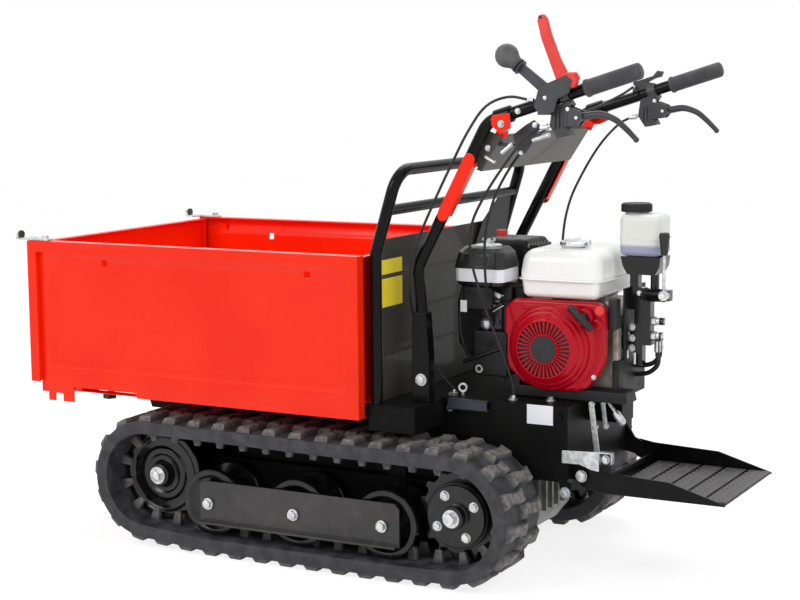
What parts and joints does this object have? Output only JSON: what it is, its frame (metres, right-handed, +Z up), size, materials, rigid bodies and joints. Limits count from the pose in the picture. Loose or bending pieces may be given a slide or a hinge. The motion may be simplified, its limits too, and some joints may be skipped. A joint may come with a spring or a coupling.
{
  "type": "power barrow",
  "caption": "Tracked power barrow: tipping box with slide-out sides, small engine on its bed, handlebars with control levers and a fold-up step for the operator.",
  "frame": {"origin": "on the ground, under the middle of the machine's overall box", "axes": "+X points back to the operator's step, +Y to the machine's right, +Z up"},
  "size_m": [1.76, 0.8, 1.2557],
  "materials": {
    "red_paint": "gloss",
    "black_paint": "satin",
    "zinc_plate": "zinc plated",
    "track_rubber": "matt",
    "grip_rubber": "matt",
    "black_plastic": "satin",
    "engine_cover_paint": "gloss",
    "cast_alloy": "as cast",
    "white_tank": "gloss",
    "bottle": "translucent",
    "hose_rubber": "satin"
  },
  "bodies": {
    "machine": {"chassis_frame": "black_paint", "engine_bed": "black_paint", "gearbox": "cast_alloy", "track_belt_left": "track_rubber", "track_belt_right": "track_rubber", "track_frame_left": "black_paint", "track_frame_right": "black_paint", "roller_plate_left": "black_paint", "roller_plate_right": "black_paint", "guard_frame": "black_paint", "handlebar_left": "black_paint", "handlebar_right": "black_paint", "grip_left": "grip_rubber", "grip_right": "grip_rubber", "control_shelf": "black_paint", "lever_perch_left": "black_plastic", "lever_perch_right": "black_plastic", "engine_block": "cast_alloy", "fan_cover": "engine_cover_paint", "fuel_tank": "white_tank", "air_cleaner": "black_plastic", "muffler": "black_paint", "hydraulic_valve": "black_paint", "oil_tank": "bottle", "hydraulic_hose_upper": "hose_rubber", "hydraulic_hose_lower": "hose_rubber", "gear_cable": "hose_rubber", "clutch_cable_left": "hose_rubber", "clutch_cable_right": "hose_rubber", "throttle_cable": "hose_rubber"},
    "dump_box": {"box_floor": "red_paint"},
    "front_gate": {"front_gate": "red_paint"},
    "side_panel_left": {"side_panel_left": "red_paint"},
    "side_panel_right": {"side_panel_right": "red_paint"},
    "gate_latch_left": {"gate_latch_left": "zinc_plate"},
    "gate_latch_right": {"gate_latch_right": "zinc_plate"},
    "slide_knob_left": {"slide_knob_left": "black_plastic"},
    "slide_knob_right": {"slide_knob_right": "black_plastic"},
    "ram_barrel": {"ram_barrel": "black_paint"},
    "ram_rod": {"ram_rod": "zinc_plate"},
    "platform": {"platform": "black_paint"},
    "clutch_lever_left": {"clutch_lever_left": "black_plastic"},
    "clutch_lever_right": {"clutch_lever_right": "black_plastic"},
    "drive_lever": {"drive_lever": "red_paint"},
    "gear_lever": {"gear_lever": "black_plastic"},
    "throttle_lever": {"throttle_lever": "black_plastic"},
    "valve_lever": {"valve_lever": "zinc_plate"},
    "recoil_handle": {"recoil_handle": "black_plastic"},
    "fuel_cap": {"fuel_cap": "zinc_plate"},
    "oil_cap": {"oil_cap": "black_plastic"},
    "sprocket_left": {"sprocket_left": "black_paint"},
    "idler_left": {"idler_left": "black_paint"},
    "roller_left_1": {"roller_left_1": "black_paint"},
    "roller_left_2": {"roller_left_2": "black_paint"},
    "roller_left_3": {"roller_left_3": "black_paint"},
    "sprocket_right": {"sprocket_right": "black_paint"},
    "idler_right": {"idler_right": "black_paint"},
    "roller_right_1": {"roller_right_1": "black_paint"},
    "roller_right_2": {"roller_right_2": "black_paint"},
    "roller_right_3": {"roller_right_3": "black_paint"}
  },
  "joints": [
    {"name": "box_tip", "type": "hinge", "parent": "machine", "child": "dump_box", "pos_m": [-0.64, 0, 0.335], "axis": [0, -1, 0], "range_deg": [0, 50]},
    {"name": "gate_swing", "type": "hinge", "parent": "dump_box", "child": "front_gate", "pos_m": [-0.838, 0, 0.386], "axis": [0, -1, 0], "range_deg": [0, 75]},
    {"name": "panel_slide_left", "type": "slide", "parent": "dump_box", "child": "side_panel_left", "axis": [0, -1, 0], "range_m": [0, 0.12]},
    {"name": "panel_slide_right", "type": "slide", "parent": "dump_box", "child": "side_panel_right", "axis": [0, 1, 0], "range_m": [0, 0.12]},
    {"name": "latch_turn_left", "type": "hinge", "parent": "side_panel_left", "child": "gate_latch_left", "pos_m": [-0.79, -0.371, 0.732], "axis": [0, 0, 1], "range_deg": [0, 90]},
    {"name": "latch_turn_right", "type": "hinge", "parent": "side_panel_right", "child": "gate_latch_right", "pos_m": [-0.79, 0.371, 0.732], "axis": [0, 0, -1], "range_deg": [0, 90]},
    {"name": "knob_turn_left", "type": "hinge", "parent": "dump_box", "child": "slide_knob_left", "pos_m": [-0.7, -0.25, 0.345], "axis": [0, 0, 1], "continuous": true},
    {"name": "knob_turn_right", "type": "hinge", "parent": "dump_box", "child": "slide_knob_right", "pos_m": [-0.7, 0.25, 0.345], "axis": [0, 0, 1], "continuous": true},
    {"name": "ram_swing", "type": "hinge", "parent": "machine", "child": "ram_barrel", "pos_m": [0.04, 0, 0.27], "axis": [0, 1, 0], "range_deg": [0, 12]},
    {"name": "ram_stroke", "type": "slide", "parent": "ram_barrel", "child": "ram_rod", "axis": [-0.9749, 0, 0.2225], "range_m": [0, 0.155]},
    {"name": "step_fold", "type": "hinge", "parent": "machine", "child": "platform", "pos_m": [0.552, 0, 0.24], "axis": [0, -1, 0], "range_deg": [0, 55]},
    {"name": "clutch_squeeze_left", "type": "hinge", "parent": "machine", "child": "clutch_lever_left", "pos_m": [0.576, -0.266, 1.038], "axis": [0, -1, 0], "range_deg": [0, 25], "stiffness_Nm_per_rad": 2, "springref_deg": -17.19},
    {"name": "clutch_squeeze_right", "type": "hinge", "parent": "machine", "child": "clutch_lever_right", "pos_m": [0.576, 0.266, 1.038], "axis": [0, -1, 0], "range_deg": [0, 25], "stiffness_Nm_per_rad": 2, "springref_deg": -17.19},
    {"name": "drive_shift", "type": "hinge", "parent": "machine", "child": "drive_lever", "pos_m": [0.558, -0.266, 1.112], "axis": [0, 1, 0], "range_deg": [0, 35]},
    {"name": "gear_shift", "type": "hinge", "parent": "machine", "child": "gear_lever", "pos_m": [0.512, -0.266, 1.096], "axis": [0, 1, 0], "range_deg": [-20, 15]},
    {"name": "throttle_turn", "type": "hinge", "parent": "machine", "child": "throttle_lever", "pos_m": [0.508, 0.266, 1.10119], "axis": [0, -1, 0], "range_deg": [0, 35]},
    {"name": "valve_shift", "type": "hinge", "parent": "machine", "child": "valve_lever", "pos_m": [0.7, -0.072, 0.64], "axis": [0, 1, 0], "range_deg": [-20, 20], "stiffness_Nm_per_rad": 3},
    {"name": "starter_pull", "type": "slide", "parent": "machine", "child": "recoil_handle", "axis": [0, -1, 0], "range_m": [0, 0.06], "stiffness_N_per_m": 40, "springref_m": -0.1},
    {"name": "fuel_cap_turn", "type": "hinge", "parent": "machine", "child": "fuel_cap", "pos_m": [0.475, -0.04, 0.75], "axis": [0, 0, 1], "range_deg": [0, 90]},
    {"name": "oil_cap_turn", "type": "hinge", "parent": "machine", "child": "oil_cap", "pos_m": [0.6135, -0.015, 0.8203], "axis": [0, 0, 1], "range_deg": [0, 90]},
    {"name": "sprocket_spin_left", "type": "hinge", "parent": "machine", "child": "sprocket_left", "pos_m": [0.322, -0.31, 0.16], "axis": [0, 1, 0], "continuous": true},
    {"name": "idler_spin_left", "type": "hinge", "parent": "machine", "child": "idler_left", "pos_m": [-0.49, -0.31, 0.168], "axis": [0, 1, 0], "continuous": true},
    {"name": "roller_spin_left_1", "type": "hinge", "parent": "machine", "child": "roller_left_1", "pos_m": [-0.32, -0.31, 0.1241], "axis": [0, 1, 0], "continuous": true},
    {"name": "roller_spin_left_2", "type": "hinge", "parent": "machine", "child": "roller_left_2", "pos_m": [-0.084, -0.31, 0.1241], "axis": [0, 1, 0], "continuous": true},
    {"name": "roller_spin_left_3", "type": "hinge", "parent": "machine", "child": "roller_left_3", "pos_m": [0.149, -0.31, 0.1241], "axis": [0, 1, 0], "continuous": true},
    {"name": "sprocket_spin_right", "type": "hinge", "parent": "machine", "child": "sprocket_right", "pos_m": [0.322, 0.31, 0.16], "axis": [0, 1, 0], "continuous": true},
    {"name": "idler_spin_right", "type": "hinge", "parent": "machine", "child": "idler_right", "pos_m": [-0.49, 0.31, 0.168], "axis": [0, 1, 0], "continuous": true},
    {"name": "roller_spin_right_1", "type": "hinge", "parent": "machine", "child": "roller_right_1", "pos_m": [-0.32, 0.31, 0.1241], "axis": [0, 1, 0], "continuous": true},
    {"name": "roller_spin_right_2", "type": "hinge", "parent": "machine", "child": "roller_right_2", "pos_m": [-0.084, 0.31, 0.1241], "axis": [0, 1, 0], "continuous": true},
    {"name": "roller_spin_right_3", "type": "hinge", "parent": "machine", "child": "roller_right_3", "pos_m": [0.149, 0.31, 0.1241], "axis": [0, 1, 0], "continuous": true}
  ],
  "couplings": [
    {"joint": "ram_swing", "follows": "box_tip", "ratio": 0.2326},
    {"joint": "ram_stroke", "follows": "box_tip", "m_per_rad": 0.1761},
    {"joint": "idler_spin_left", "follows": "sprocket_spin_left", "ratio": 1},
    {"joint": "roller_spin_left_1", "follows": "sprocket_spin_left", "ratio": 1.4141},
    {"joint": "roller_spin_left_2", "follows": "sprocket_spin_left", "ratio": 1.4141},
    {"joint": "roller_spin_left_3", "follows": "sprocket_spin_left", "ratio": 1.4141},
    {"joint": "idler_spin_right", "follows": "sprocket_spin_right", "ratio": 1},
    {"joint": "roller_spin_right_1", "follows": "sprocket_spin_right", "ratio": 1.4141},
    {"joint": "roller_spin_right_2", "follows": "sprocket_spin_right", "ratio": 1.4141},
    {"joint": "roller_spin_right_3", "follows": "sprocket_spin_right", "ratio": 1.4141}
  ]
}
